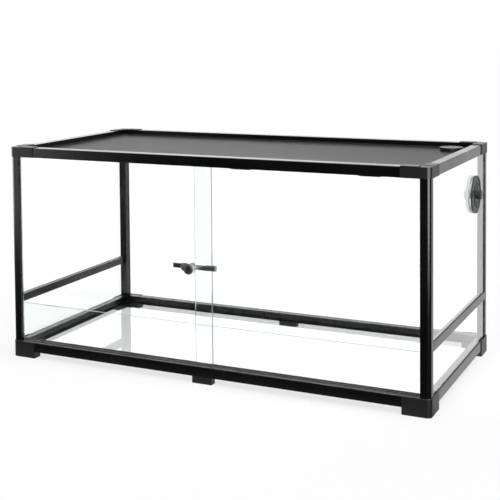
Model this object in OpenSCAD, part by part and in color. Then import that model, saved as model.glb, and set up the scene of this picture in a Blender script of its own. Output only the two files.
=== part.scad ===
// Front-opening glass reptile terrarium with sliding doors and a lift-off screen top.
// X runs along the length, -Y is the door side, Z = 0 is the surface under the feet.
// The origin lies under the middle of the overall box, knob and lock included.

/* [Tank] */
// Overall length over the corner pieces
tank_w = 1219; // [760:1:1500]
// Overall depth over the corner pieces
tank_d = 600; // [500:1:800]
// Overall height from the floor to the top of the corner caps
tank_h = 600; // [520:1:800]

/* [Frame] */
// Face width of the posts and depth of the side and rear rails
bar_w = 26; // [25:0.5:30]
// Height of the top and bottom rails
rail_h = 27; // [27:0.5:32]
// Wall of the hollow rails
wall = 2; // [1.6:0.1:2.2]
// Radius on the outer upright edge of the posts
post_r = 10; // [5:0.5:10]
// Radius along the outer long edge of the rails
rail_r = 2; // [1:0.25:2.5]
// Depth of the front posts' front flange, in front of the doors
post_flange = 10.5; // [10:0.5:12]
// Thickness of the front posts' side flange
side_flange = 12; // [11.5:0.5:14]
// Height of the underside of the middle side bars above the floor
side_bar_z = 153; // [130:1:200]
// Height of the middle side bars
side_bar_h = 22; // [20:1:30]
// Depth of the middle side bars
side_bar_d = 18; // [14:1:22]

/* [Corners and feet] */
// How far the corner pieces stand proud of the frame
corner_proud = 2; // [1:0.25:3]
// Height of the bottom rails above the floor
foot_drop = 18; // [12:1:30]
// How far a foot's skirt stands above the bottom rails
foot_lip = 1; // [0.5:0.25:2]
// Length of each arm of a corner foot
foot_arm = 73; // [66:1:90]
// Wall of the hollow corner feet
foot_wall = 3; // [2:0.25:4]
// Length of each arm of a top corner cap
cap_arm = 76; // [66:1:90]
// Height of the caps' raised arm pads above the rails
cap_pad_h = 2; // [1.5:0.25:3]
// Distance from the outer corner to the start of the raised pads
cap_pad_start = 32; // [30:1:44]
// Thickness of the cap's plate over the corner
cap_plate_t = 1; // [0.5:0.25:1.25]
// Length of the tenons that plug into the rails
tenon_l = 34; // [20:1:36]
// Clearance of a tenon in its rail
tenon_fit = 0.25; // [0.15:0.05:0.4]
// Width of the middle feet
middle_foot_w = 57; // [40:1:80]
// Depth of the middle feet
middle_foot_d = 20; // [16:1:34]
// Distance of the middle feet and the door overlap to the left of the middle
middle_shift = 4; // [0:1:20]

/* [Glass] */
// Thickness of the side, back and dam panes
pane_t = 5; // [4:0.5:6]
// Thickness of the sliding doors
door_t = 5; // [4:0.5:6]
// Thickness of the base panel
base_t = 6; // [4:0.5:8]
// Distance from the frame's outer face to the side and back panes
pane_inset = 2.5; // [2.5:0.25:5.5]
// Depth of the grooves that hold the panes
groove_depth = 8; // [6:0.5:9]
// Clearance of a pane on each side in its groove
glass_gap = 0.5; // [0.3:0.1:0.6]
// Height of the dam pane above the bottom rails
dam_rise = 103; // [80:1:160]
// Space between the dam pane and the inner door
dam_gap = 5; // [4.5:0.5:8]

/* [Doors] */
// Width over which the closed doors overlap
door_overlap = 46; // [40:1:60]
// Space between the inner and the outer door
door_gap = 5; // [5:0.25:7]
// How far a closed door tucks behind its post
door_tuck = 8; // [5:0.5:8]
// Width of a glide on a door's top edge
glide_w = 55; // [40:1:70]
// How far a glide shows below the top rail
glide_drop = 3; // [2:0.5:5]
// Distance from a door's long edges to the middle of its glides
glide_inset = 135; // [90:1:150]
// Wall of the glides
glide_wall = 0.8; // [0.7:0.1:1]
// Clearance of a glide in its groove
glide_play = 0.3; // [0.25:0.05:0.4]

/* [Lock] */
// Height of the lock's centre line above the floor
lock_z = 303; // [250:1:380]
// Length of the toothed bar
lock_bar_l = 127; // [100:1:150]
// Height of the toothed bar
lock_bar_h = 13; // [11:0.5:16]
// Thickness of the toothed bar
lock_bar_t = 1.8; // [1.5:0.1:2]
// How far the bar's hook reaches past the inner door's edge
lock_hook = 13; // [6:1:16]
// Pitch of the bar's teeth
tooth_pitch = 3; // [2:0.5:5]
// Length of the lock body along the bar
lock_body_l = 40; // [36:1:48]
// Height of the lock body
lock_body_h = 22; // [19:0.5:28]
// Diameter of the lock barrel
barrel_d = 28; // [22:0.5:30]
// Distance of the barrel's face in front of the corner pieces
barrel_reach = 11; // [4:0.5:16]
// Diameter of the lock plug
plug_d = 17; // [14:0.5:18]

/* [Vent] */
// Distance from the rear posts' inner side forward to the vent's centre
vent_back = 129; // [90:1:160]
// Distance from the top rail down to the vent's centre
vent_drop = 99; // [70:1:140]
// Diameter of the vent's cover and flanges
vent_d = 103; // [96:1:110]
// Diameter of the hole in the side pane
vent_hole_d = 86; // [80:1:90]
// Thickness of the clear flange outside the pane
vent_flange_t = 4.5; // [4:0.5:9]
// Thickness of the turning cover
vent_cover_t = 4; // [3:0.5:6]
// How far the outer knob stands out of the cover
knob_reach = 14; // [8:1:18]
// Diameter of both knobs
knob_d = 24; // [20:1:26]
// How far the inner knob stands inside the pane
inner_knob_reach = 7.5; // [4:0.5:10]
// Number of fan-shaped slots
fan_count = 8; // [6:1:9]

/* [Screen top] */
// Depth of the mesh below the rail tops
screen_drop = 16; // [14:0.5:17]
// Width of the screen frame's bars
screen_bar_w = 10; // [9:0.5:12]
// Height of the screen frame's bars
screen_bar_h = 10; // [9:0.5:10]
// Step from the screen frame's top down to the mesh
screen_step = 3; // [2.5:0.25:3.5]
// Thickness of the mesh
mesh_t = 0.5; // [0.4:0.1:0.8]
// Clearance between the screen frame and the rails
screen_gap = 1; // [0.5:0.25:2]
// Width of the ledge under the screen frame
ledge_w = 9; // [6:0.5:10]
// Thickness of the ledges
ledge_t = 2; // [1.5:0.25:2]

/* [Cable port] */
// Distance from the screen's right edge to the port's centre
port_side = 52; // [46:1:300]
// Distance from the screen's rear edge to the port's centre
port_back = 68; // [46:1:250]
// Diameter of the port's cap
port_d = 64; // [56:1:70]
// Bore of the port
port_bore_d = 44; // [36:1:46]
// Height of the port's top above the mesh
port_h = 10; // [8:0.5:12]

/* [Hidden] */
$fn = 64;

// Outer faces of the frame, inside the proud corner pieces
frame_x = tank_w / 2 - corner_proud;
frame_y = tank_d / 2 - corner_proud;
bottom_z0 = foot_drop;
bottom_z1 = foot_drop + rail_h;
top_z1 = tank_h - cap_pad_h;
top_z0 = top_z1 - rail_h;

// Distances inwards from the frame's front face to the doors and the dam pane
outer_door_u = post_flange + glass_gap;
inner_door_u = outer_door_u + door_t + door_gap;
dam_u = inner_door_u + door_t + dam_gap;

// Door tracks
track_wall = 1.5;
top_track_h = 11;
top_groove_h = 10;
glide_fit = 0.1;
top_groove_w = door_t + 2 * (glide_fit + glide_wall + glide_play);
sill_chamber_gap = 7;
sill_pocket_h = groove_depth + sill_chamber_gap;
track_recess = 1;
sill_groove_w = door_t + 2 * glass_gap;
dam_groove_w = pane_t + 2 * glass_gap;
sill_d = dam_u + pane_t + glass_gap + track_wall + wall;
head_d = inner_door_u + (door_t + top_groove_w) / 2 + track_wall + wall;

// Hollow chambers of the rails, which the tenons plug into
top_chamber_z = top_z0 + top_track_h + wall;
top_chamber_h = rail_h - top_track_h - 2 * wall;
bottom_chamber_z = bottom_z0 + wall;
bottom_chamber_h = rail_h - sill_pocket_h - 2 * wall;

// Panes
pane_groove_w = pane_t + 2 * glass_gap;
pane_groove_u = pane_inset - glass_gap;
pane_z0 = bottom_z1 - groove_depth;
pane_top_gap = 1;
pane_z1 = top_z0 + groove_depth - pane_top_gap;
pane_end = bar_w - groove_depth + glass_gap;
side_bar_groove = 7;
base_gap = 0.5;

// Doors
door_end = frame_x - bar_w + door_tuck;
door_z0 = bottom_z1 - groove_depth;
door_top_gap = 2;
door_z1 = top_z0 + top_groove_h - door_top_gap;
glide_top = 1.3;
outer_door_x = -middle_shift - door_overlap / 2;
inner_door_x = -middle_shift + door_overlap / 2;

// Rails' clear spans between the corner blocks
span_x = frame_x - bar_w;
span_y_rear = frame_y - bar_w;

// Post screws
screw_at = 7.5;
screw_d = 4;
screw_fit = 0.05;
screw_hole_d = 4.6;
screw_l = 50;
screw_head_d = 8;
screw_head_h = 3;
screw_slot_w = 1;
screw_slot_depth = 1.6;
dowel_l = 15;
dowel_fit = 0.1;
peg_d = 6;
peg_fit = 0.2;
peg_at = 18;

// Lock
lock_back_wall = 1.2;
lock_slot_fit = 0.35;
lock_clear = 0.7;
lock_bar_y = -frame_y + inner_door_u - lock_clear - lock_back_wall - lock_slot_fit;
lock_edge_gap = 0.4;
lock_body_x = outer_door_x - lock_edge_gap - lock_body_l;
lock_axis_inset = 6.6;
lock_axis_x = outer_door_x - lock_edge_gap - lock_axis_inset;
lock_front_y = -tank_d / 2 - barrel_reach;
lock_base_t = 13;
lock_end_h = 17;
hook_reach = 18;
bend_r = 4.5;
hook_gap = 0.3;
plug_fit = 0.2;
plug_depth = 8;
keyway_w = 2.2;
keyway_h = 9;
keyway_depth = 3;
tooth_h = 1.2;
tooth_share = 0.8;
teeth_under_door = 6;

// Vent layers, counted outwards from the side pane's outer face
vent_y = span_y_rear - vent_back;
vent_z = top_z0 - vent_drop;
vent_pane_x = frame_x - pane_inset;
vent_play = 0.3;
vent_hub_fit = 0.3;
vent_hub_wall = 3;
vent_floor_t = 3;
vent_rim_w = 3;
vent_nut_t = 3;
vent_nut_rim = 5;
vent_hub_in = vent_nut_t + 1;
vent_shaft_d = 8;
vent_rim_h = 1.5;
knob_end_wall = 2;
inner_knob_l = inner_knob_reach + 4;
vent_shaft_l = pane_t + inner_knob_reach + vent_flange_t + vent_play - knob_end_wall - 1;
knob_fit = 0.1;
knob_collar = 2;
vent_cover_out = vent_flange_t + vent_play;
fan_border = 3;
fan_r0 = knob_d / 2 + fan_border;
fan_r1 = vent_hole_d / 2 - vent_hub_wall - fan_border;
vent_recess_gap = 1;
fan_share = 0.5;

// What the knob adds to the overall length
knob_overhang = vent_pane_x + vent_cover_out + vent_cover_t + knob_reach - tank_w / 2;

// Screen top
mesh_z = top_z1 - screen_drop;
screen_z1 = mesh_z + screen_step;
screen_z0 = screen_z1 - screen_bar_h;
screen_wall = 1;
screen_shelf = 5.5;
screen_x = span_x - screen_gap;
screen_y0 = -frame_y + head_d + screen_gap;
screen_y1 = span_y_rear - screen_gap;
spline_w = 2.8;
spline_h = 2;
spline_gap = 0.1;
key_arm = 32;
key_fit = 0.2;
ledge_relief = 0.4;

// Cable port
port_x = screen_x - port_side;
port_y = screen_y1 - port_back;
port_flange_h = 2.5;
port_hub_wall = 3;
port_nut_h = 4;
port_fit = 0.3;
port_skirt_wall = 2;
port_lip = 1;
port_lip_w = 4;
port_ring_inset = 1;
port_hub_out = 1;
mesh_seam = 0.1;
mesh_seam_off = 4;
cut = 1;

frame_color = "#1b1b1d";
plastic_color = "#252527";
glass_color = [0.80, 0.90, 0.88, 0.30];
clear_color = [0.86, 0.88, 0.90, 0.55];
steel_color = "#c9ccd0";
mesh_color = "#7f8183";
rubber_color = "#101010";

// Shared shapes

// Rectangle with one rounded corner at the origin
module corner_rect(w, d, r) {
    difference() {
        square([w, d]);
        difference() {
            translate([-cut, -cut]) square([r + cut, r + cut]);
            translate([r, r]) circle(r);
        }
    }
}

// L-shaped plan with a rounded outer corner at the origin
module l_plan(arm, w, r) {
    corner_rect(arm, w, r);
    corner_rect(w, arm, r);
}

// Moves a part so that the origin lies under the middle of the overall box
module placed() {
    translate([-knob_overhang / 2, barrel_reach / 2, 0])
        children();
}

// Moves a corner piece from its own corner to one of the frame's four corners
module at_corner(right, rear) {
    translate([right ? frame_x : -frame_x, rear ? frame_y : -frame_y, 0])
        mirror([right ? 1 : 0, 0, 0])
            mirror([0, rear ? 1 : 0, 0])
                children();
}

// Extrudes a profile of (inward distance, height) along X behind the front face
module along_x(x0, x1) {
    translate([x0, -frame_y, 0])
        rotate([90, 0, 90])
            linear_extrude(x1 - x0)
                children();
}

// Extrudes the same kind of profile along Y beside the left face
module along_y(y0, y1) {
    translate([-frame_x, y1, 0])
        rotate([90, 0, 0])
            linear_extrude(y1 - y0)
                children();
}

// Ring between two radii
module ring(r0, r1, h) {
    difference() {
        cylinder(r = r1, h = h);
        translate([0, 0, -cut]) cylinder(r = r0, h = h + 2 * cut);
    }
}

// Fan-shaped slots between two radii, about the local Z axis
module fan_slots(h) {
    sector = 360 / fan_count * fan_share;
    far = 2 * fan_r1;
    intersection() {
        ring(fan_r0, fan_r1, h);
        for (i = [0 : fan_count - 1])
            rotate([0, 0, i * 360 / fan_count + 90 - sector / 2])
                linear_extrude(h)
                    polygon([
                        [0, 0],
                        [far, 0],
                        [far * cos(sector), far * sin(sector)],
                    ]);
    }
}

// Posts

module front_post_plan() {
    difference() {
        union() {
            corner_rect(bar_w, post_flange, post_r);
            corner_rect(side_flange, bar_w, post_r);
        }
        translate([pane_groove_u, bar_w - groove_depth])
            square([pane_groove_w, groove_depth + cut]);
        translate([screw_at, screw_at])
            circle(d = screw_d);
    }
}

module rear_post_plan() {
    cell = pane_groove_u + pane_groove_w + wall;
    difference() {
        corner_rect(bar_w, bar_w, post_r);
        translate([pane_groove_u, bar_w - groove_depth])
            square([pane_groove_w, groove_depth + cut]);
        translate([bar_w - groove_depth, pane_groove_u])
            square([groove_depth + cut, pane_groove_w]);
        translate([cell, cell])
            square(bar_w - cell - wall);
        translate([screw_at, screw_at])
            circle(d = screw_d);
    }
}

module post(right, rear) {
    color(frame_color)
        at_corner(right, rear)
            translate([0, 0, bottom_z1])
                linear_extrude(top_z0 - bottom_z1)
                    if (rear) rear_post_plan(); else front_post_plan();
}

// Rails

module top_rail_plan(depth, track) {
    difference() {
        translate([0, top_z0 + rail_h])
            mirror([0, 1])
                corner_rect(depth, rail_h, rail_r);
        translate([wall, top_chamber_z])
            square([depth - 2 * wall, top_chamber_h]);
        if (track)
            translate([wall, top_z0 - cut])
                square([depth - 2 * wall, top_track_h + cut]);
        else
            translate([pane_groove_u, top_z0 - cut])
                square([pane_groove_w, groove_depth + cut]);
    }
}

module bottom_rail_plan(depth, track) {
    difference() {
        translate([0, bottom_z0 + rail_h])
            mirror([0, 1])
                corner_rect(depth, rail_h, rail_r);
        translate([wall, bottom_chamber_z])
            square([depth - 2 * wall, bottom_chamber_h]);
        if (track)
            translate([wall, bottom_z1 - sill_pocket_h])
                square([depth - 2 * wall, sill_pocket_h + cut]);
        else
            translate([pane_groove_u, bottom_z1 - groove_depth])
                square([pane_groove_w, groove_depth + cut]);
    }
}

// Ledge that carries the screen frame or the base panel
module ledge_plan(depth, top_z) {
    translate([depth - cut, top_z - ledge_t])
        square([ledge_w + cut, ledge_t]);
}

module long_rail_top(depth, track) {
    ledge_x = span_x - ledge_w - ledge_relief;
    along_x(-span_x, span_x) top_rail_plan(depth, track);
    along_x(-ledge_x, ledge_x) ledge_plan(depth, screen_z0);
}

module top_front_rail() {
    color(frame_color) long_rail_top(head_d, true);
}

module top_rear_rail() {
    color(frame_color) mirror([0, 1, 0]) long_rail_top(bar_w, false);
}

module top_side_rail() {
    along_y(-frame_y + head_d, span_y_rear) {
        top_rail_plan(bar_w, false);
        ledge_plan(bar_w, screen_z0);
    }
}

module top_left_rail() {
    color(frame_color) top_side_rail();
}

module top_right_rail() {
    color(frame_color) mirror([1, 0, 0]) top_side_rail();
}

// Two holes in a rail's underside for a middle foot's pegs
module peg_holes() {
    for (side = [-1, 1])
        translate([side * peg_at - middle_shift, -frame_y + middle_foot_d / 2, bottom_z0 - cut])
            cylinder(d = peg_d + 2 * peg_fit, h = wall + 2 * cut);
}

module long_rail_bottom(depth, track) {
    ledge_x = span_x - ledge_w - ledge_relief;
    difference() {
        along_x(-span_x, span_x) bottom_rail_plan(depth, track);
        peg_holes();
    }
    along_x(-ledge_x, ledge_x) ledge_plan(depth, bottom_z0 + ledge_t);
}

module bottom_front_rail() {
    color(frame_color) long_rail_bottom(sill_d, true);
}

module bottom_rear_rail() {
    color(frame_color) mirror([0, 1, 0]) long_rail_bottom(bar_w, false);
}

module bottom_side_rail() {
    along_y(-frame_y + sill_d, span_y_rear) {
        bottom_rail_plan(bar_w, false);
        ledge_plan(bar_w, bottom_z0 + ledge_t);
    }
}

module bottom_left_rail() {
    color(frame_color) bottom_side_rail();
}

module bottom_right_rail() {
    color(frame_color) mirror([1, 0, 0]) bottom_side_rail();
}

module side_bar() {
    along_y(-frame_y + bar_w, span_y_rear)
        difference() {
            translate([0, side_bar_z]) square([side_bar_d, side_bar_h]);
            for (z = [side_bar_z - cut, side_bar_z + side_bar_h - side_bar_groove])
                translate([pane_groove_u, z])
                    square([pane_groove_w, side_bar_groove + cut]);
        }
}

module left_side_bar() {
    color(frame_color) side_bar();
}

module right_side_bar() {
    color(frame_color) mirror([1, 0, 0]) side_bar();
}

// Corner pieces

// Thin skin over both outer faces of the frame at a corner
module corner_skin(arm, h) {
    linear_extrude(h)
        difference() {
            translate([-corner_proud, -corner_proud])
                l_plan(arm, corner_proud + post_r + cut, post_r + corner_proud);
            corner_rect(arm, arm, post_r);
        }
}

// Block between the rails at a corner
module corner_block(depth, z0, z1) {
    translate([0, 0, z0])
        linear_extrude(z1 - z0)
            corner_rect(bar_w, depth, post_r);
}

// Grooves for the pane ends, cut over a height from z0 to z1
module pane_end_grooves(rear, z0, z1) {
    far = 2 * bar_w;
    translate([pane_groove_u, bar_w - groove_depth, z0])
        cube([pane_groove_w, far, z1 - z0]);
    if (rear)
        translate([bar_w - groove_depth, pane_groove_u, z0])
            cube([far, pane_groove_w, z1 - z0]);
}

// Tenons that plug into the rails on both sides of a corner
module tenons(depth, chamber_z, chamber_h) {
    t = wall + tenon_fit;
    h = chamber_h - 2 * tenon_fit;
    translate([bar_w - cut, t, chamber_z + tenon_fit])
        cube([tenon_l + cut, depth - 2 * t, h]);
    translate([t, depth - cut, chamber_z + tenon_fit])
        cube([bar_w - 2 * t, tenon_l + cut, h]);
}

module cap_shape(rear) {
    depth = rear ? bar_w : head_d;
    pad_w = depth + corner_proud;
    side_pad_w = bar_w + corner_proud;
    slot = (door_t - top_groove_w) / 2;
    difference() {
        union() {
            translate([0, 0, top_z0]) corner_skin(cap_arm, rail_h + cap_plate_t);
            corner_block(depth, top_z0, top_z1);
            translate([-corner_proud, -corner_proud, top_z1])
                linear_extrude(cap_plate_t)
                    corner_rect(side_pad_w, pad_w, post_r + corner_proud);
        }
        pane_end_grooves(rear, top_z0 - cut, top_z0 + groove_depth);
        if (!rear)
            for (u = [outer_door_u + slot, inner_door_u + slot])
                translate([bar_w - door_tuck - glass_gap, u, top_z0 - cut])
                    cube([bar_w, top_groove_w, top_groove_h + cut]);
    }
    // Raised pads over the rails on both arms
    translate([cap_pad_start - corner_proud, -corner_proud, top_z1])
        cube([cap_arm - cap_pad_start, pad_w, cap_pad_h]);
    translate([-corner_proud, cap_pad_start - corner_proud, top_z1])
        cube([side_pad_w, cap_arm - cap_pad_start, cap_pad_h]);
    tenons(depth, top_chamber_z, top_chamber_h);
    // Locating dowel into the post
    translate([screw_at, screw_at, top_z0 - dowel_l])
        cylinder(d = screw_d - 2 * dowel_fit, h = dowel_l + cut);
}

module corner_cap(right, rear) {
    color(plastic_color) at_corner(right, rear) cap_shape(rear);
}

module foot_shape(rear) {
    depth = rear ? bar_w : sill_d;
    foot_w = bar_w + corner_proud;
    difference() {
        union() {
            translate([-corner_proud, -corner_proud, 0])
                linear_extrude(foot_drop)
                    l_plan(foot_arm, foot_w, post_r + corner_proud);
            translate([0, 0, bottom_z0]) corner_skin(foot_arm, rail_h + foot_lip);
            corner_block(depth, bottom_z0, bottom_z1);
        }
        // Hollow underside
        translate([foot_wall - corner_proud, foot_wall - corner_proud, -cut])
            linear_extrude(foot_drop - foot_wall + cut)
                l_plan(foot_arm - 2 * foot_wall, foot_w - 2 * foot_wall,
                       post_r + corner_proud - foot_wall);
        pane_end_grooves(rear, pane_z0, bottom_z1 + cut);
        if (!rear) {
            for (u = [outer_door_u, inner_door_u])
                translate([bar_w - door_tuck - glass_gap, u - glass_gap, door_z0])
                    cube([bar_w, sill_groove_w, groove_depth + cut]);
            translate([pane_groove_u + pane_groove_w - cut, dam_u - glass_gap, pane_z0])
                cube([bar_w, dam_groove_w, groove_depth + cut]);
        }
        translate([screw_at, screw_at, 0])
            cylinder(d = screw_hole_d, h = bottom_z1 + cut);
    }
    tenons(depth, bottom_chamber_z, bottom_chamber_h);
}

module corner_foot(right, rear) {
    color(plastic_color) at_corner(right, rear) foot_shape(rear);
}

module middle_foot() {
    translate([-middle_foot_w / 2 - middle_shift, -frame_y, 0])
        cube([middle_foot_w, middle_foot_d, foot_drop]);
    for (side = [-1, 1])
        translate([side * peg_at - middle_shift, -frame_y + middle_foot_d / 2, foot_drop - cut])
            cylinder(d = peg_d, h = wall + 2 * cut);
}

module front_middle_foot() {
    color(plastic_color) middle_foot();
}

module rear_middle_foot() {
    color(plastic_color) mirror([0, 1, 0]) middle_foot();
}

// Pan-head screws that go up through the feet into the posts
module foot_screws() {
    color(steel_color)
        for (right = [false, true], rear = [false, true])
            at_corner(right, rear)
                translate([screw_at, screw_at, foot_drop - foot_wall - screw_head_h])
                    difference() {
                        union() {
                            cylinder(d = screw_head_d, h = screw_head_h);
                            cylinder(d = screw_d - 2 * screw_fit, h = screw_l);
                        }
                        for (turn = [0, 90])
                            rotate([0, 0, turn])
                                translate([-screw_head_d / 4, -screw_slot_w / 2, -cut])
                                    cube([screw_head_d / 2, screw_slot_w,
                                          cut + screw_slot_depth]);
                    }
}

// Glass

module base_panel() {
    color(glass_color)
        translate([-span_x + base_gap, -frame_y + sill_d + base_gap, bottom_z0 + ledge_t])
            cube([
                2 * (span_x - base_gap),
                frame_y - sill_d + span_y_rear - 2 * base_gap,
                base_t,
            ]);
}

module back_glass() {
    color(glass_color)
        translate([-frame_x + pane_end, frame_y - pane_inset - pane_t, pane_z0])
            cube([2 * (frame_x - pane_end), pane_t, pane_z1 - pane_z0]);
}

// Side pane between two heights, on the left
module side_pane(z0, z1) {
    translate([-frame_x + pane_inset, -frame_y + pane_end, z0])
        cube([pane_t, 2 * (frame_y - pane_end), z1 - z0]);
}

module lower_side_pane() {
    side_pane(pane_z0, side_bar_z + side_bar_groove - pane_top_gap);
}

module upper_side_pane() {
    side_pane(side_bar_z + side_bar_h - side_bar_groove, pane_z1);
}

module left_lower_glass() {
    color(glass_color) lower_side_pane();
}

module left_upper_glass() {
    color(glass_color) upper_side_pane();
}

module right_lower_glass() {
    color(glass_color) mirror([1, 0, 0]) lower_side_pane();
}

module right_upper_glass() {
    color(glass_color)
        difference() {
            mirror([1, 0, 0]) upper_side_pane();
            translate([vent_pane_x - pane_t - cut, vent_y, vent_z])
                rotate([0, 90, 0])
                    cylinder(d = vent_hole_d, h = pane_t + 2 * cut);
        }
}

module dam_glass() {
    half = frame_x - pane_inset - pane_t - glass_gap;
    color(glass_color)
        translate([-half, -frame_y + dam_u, pane_z0])
            cube([2 * half, pane_t, groove_depth + dam_rise]);
}

// Door tracks

module bottom_door_track() {
    z0 = bottom_z1 - sill_pocket_h;
    color(plastic_color)
        along_x(-span_x, span_x)
            difference() {
                translate([wall, z0]) square([sill_d - 2 * wall, sill_pocket_h - track_recess]);
                for (u = [outer_door_u, inner_door_u])
                    translate([u - glass_gap, door_z0])
                        square([sill_groove_w, groove_depth + cut]);
                translate([dam_u - glass_gap, pane_z0])
                    square([dam_groove_w, groove_depth + cut]);
            }
}

module top_door_track() {
    slot = (door_t - top_groove_w) / 2;
    color(plastic_color)
        along_x(-span_x, span_x)
            difference() {
                translate([wall, top_z0]) square([head_d - 2 * wall, top_track_h]);
                for (u = [outer_door_u + slot, inner_door_u + slot])
                    translate([u, top_z0 - cut])
                        square([top_groove_w, top_groove_h + cut]);
            }
}

// Doors

module door_pane(x0, x1, u) {
    translate([x0, -frame_y + u, door_z0])
        cube([x1 - x0, door_t, door_z1 - door_z0]);
}

// Glide clipped over a door's top edge
module glide(x, u) {
    slot_w = door_t + 2 * glide_fit;
    w = slot_w + 2 * glide_wall;
    z0 = top_z0 - glide_drop;
    translate([x - glide_w / 2, -frame_y + u + door_t / 2, z0])
        difference() {
            translate([0, -w / 2, 0]) cube([glide_w, w, door_z1 + glide_top - z0]);
            translate([-cut, -slot_w / 2, -cut])
                cube([glide_w + 2 * cut, slot_w, door_z1 - z0 + cut]);
        }
}

module left_door_glass() {
    color(glass_color) door_pane(-door_end, inner_door_x, inner_door_u);
}

module left_door_glide() {
    color(plastic_color) glide(inner_door_x - glide_inset, inner_door_u);
}

module right_door_glass() {
    color(glass_color) door_pane(outer_door_x, door_end, outer_door_u);
}

module right_door_glides() {
    color(plastic_color) {
        glide(outer_door_x + glide_inset, outer_door_u);
        glide(door_end - glide_inset, outer_door_u);
    }
}

// Lock

// Front view of the toothed bar up to its bend, with saw teeth along its lower edge
module lock_bar_plan(x0, x1) {
    teeth = floor((outer_door_x - x0) / tooth_pitch) + teeth_under_door;
    tooth_w = tooth_pitch * tooth_share;
    difference() {
        translate([x0, -lock_bar_h / 2]) square([x1 - x0, lock_bar_h]);
        for (i = [1 : teeth])
            translate([x0 + i * tooth_pitch, -lock_bar_h / 2])
                polygon([
                    [0, -cut],
                    [tooth_w, -cut],
                    [tooth_w, 0],
                    [0, tooth_h],
                ]);
    }
}

// Plan of the bend round the inner door's edge, with its leg behind the glass
module hook_plan(x0, x1, y0, y1) {
    difference() {
        hook_outline(x0, x1, y0, y1, bend_r);
        hook_outline(x0 - cut, x1 - lock_bar_t, y0 + lock_bar_t, y1 - lock_bar_t,
                     bend_r - lock_bar_t);
        translate([x0 - cut, y0 - cut]) square([x1 - bend_r - x0 + cut, lock_bar_t + cut]);
    }
}

// Rectangle with its two right corners rounded
module hook_outline(x0, x1, y0, y1, r) {
    translate([x0, y0]) square([x1 - r - x0, y1 - y0]);
    translate([x1 - r - cut, y0 + r]) square([r + cut, y1 - y0 - 2 * r]);
    for (y = [y0 + r, y1 - r])
        translate([x1 - r, y]) circle(r);
}

module lock_bar() {
    x1 = inner_door_x + lock_hook;
    x0 = x1 - lock_bar_l;
    back_y = -frame_y + inner_door_u + door_t + hook_gap;
    color(steel_color)
        translate([0, 0, lock_z]) {
            translate([0, lock_bar_y, 0])
                rotate([90, 0, 0])
                    linear_extrude(lock_bar_t)
                        lock_bar_plan(x0, x1 - bend_r);
            translate([0, 0, -lock_bar_h / 2])
                linear_extrude(lock_bar_h)
                    hook_plan(x1 - lock_hook - hook_reach, x1,
                              lock_bar_y - lock_bar_t, back_y + lock_bar_t);
        }
}

// Front view of the lock body's base: round at the left, tapering to the door's edge
module lock_base_plan() {
    r = lock_body_h / 2;
    x0 = lock_body_x - lock_axis_x;
    x1 = x0 + lock_body_l;
    translate([x0 + r, 0]) circle(r);
    polygon([
        [x0 + r, -r],
        [x0 + r, r],
        [0, r],
        [x1, lock_end_h / 2],
        [x1, -lock_end_h / 2],
        [0, -r],
    ]);
}

module lock_body() {
    back_y = lock_bar_y + lock_slot_fit + lock_back_wall;
    base_y = back_y - lock_base_t;
    slot_h = lock_bar_h + 2 * lock_slot_fit;
    slot_t = lock_bar_t + 2 * lock_slot_fit;
    color(steel_color)
        difference() {
            union() {
                translate([lock_axis_x, back_y, lock_z])
                    rotate([90, 0, 0])
                        linear_extrude(lock_base_t)
                            lock_base_plan();
                translate([lock_axis_x, base_y, lock_z])
                    rotate([90, 0, 0])
                        cylinder(d = barrel_d, h = base_y - lock_front_y);
            }
            translate([lock_body_x - cut, lock_bar_y + lock_slot_fit - slot_t,
                       lock_z - slot_h / 2])
                cube([lock_body_l + 2 * cut, slot_t, slot_h]);
            translate([lock_axis_x, lock_front_y + plug_depth, lock_z])
                rotate([90, 0, 0])
                    cylinder(d = plug_d + 2 * plug_fit, h = plug_depth + cut);
        }
}

module lock_plug() {
    recess = 0.6;
    back_gap = 0.3;
    len = plug_depth - recess - back_gap;
    color(steel_color)
        translate([lock_axis_x, lock_front_y + plug_depth - back_gap, lock_z])
            rotate([90, 0, 0])
                difference() {
                    cylinder(d = plug_d, h = len);
                    translate([-keyway_w / 2, -keyway_h / 2, len - keyway_depth])
                        cube([keyway_w, keyway_h, keyway_depth + cut]);
                }
}

// Vent

// Moves a vent layer, drawn about local Z, to its distance outside the side pane
module at_vent(out) {
    translate([vent_pane_x + out, vent_y, vent_z])
        rotate([90, 0, 90])
            children();
}

// Clear body: a flange outside the pane and a hub through the pane's hole
module vent_flange() {
    hub_r = vent_hole_d / 2 - vent_hub_fit;
    color(clear_color) {
        at_vent(0)
            difference() {
                cylinder(d = vent_d, h = vent_flange_t);
                translate([0, 0, -cut])
                    cylinder(r = fan_r1 + vent_recess_gap, h = vent_flange_t - vent_floor_t + cut);
                translate([0, 0, -cut]) fan_slots(vent_flange_t + 2 * cut);
                translate([0, 0, -cut])
                    cylinder(d = vent_shaft_d + 2 * vent_play, h = vent_flange_t + 2 * cut);
            }
        at_vent(-pane_t - vent_hub_in)
            ring(hub_r - vent_hub_wall, hub_r, pane_t + vent_hub_in + cut);
    }
}

// Turning cover with a raised rim, fan slots and the shaft that carries both knobs
module vent_cover() {
    floor_t = vent_cover_t - vent_rim_h;
    color(plastic_color)
        at_vent(vent_cover_out) {
            difference() {
                cylinder(d = vent_d, h = vent_cover_t);
                translate([0, 0, floor_t])
                    ring(knob_d / 2 + vent_recess_gap, vent_d / 2 - vent_rim_w, vent_cover_t);
                translate([0, 0, -cut]) fan_slots(vent_cover_t + 2 * cut);
            }
            translate([0, 0, -vent_shaft_l])
                cylinder(d = vent_shaft_d, h = vent_shaft_l + cut);
        }
}

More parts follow.
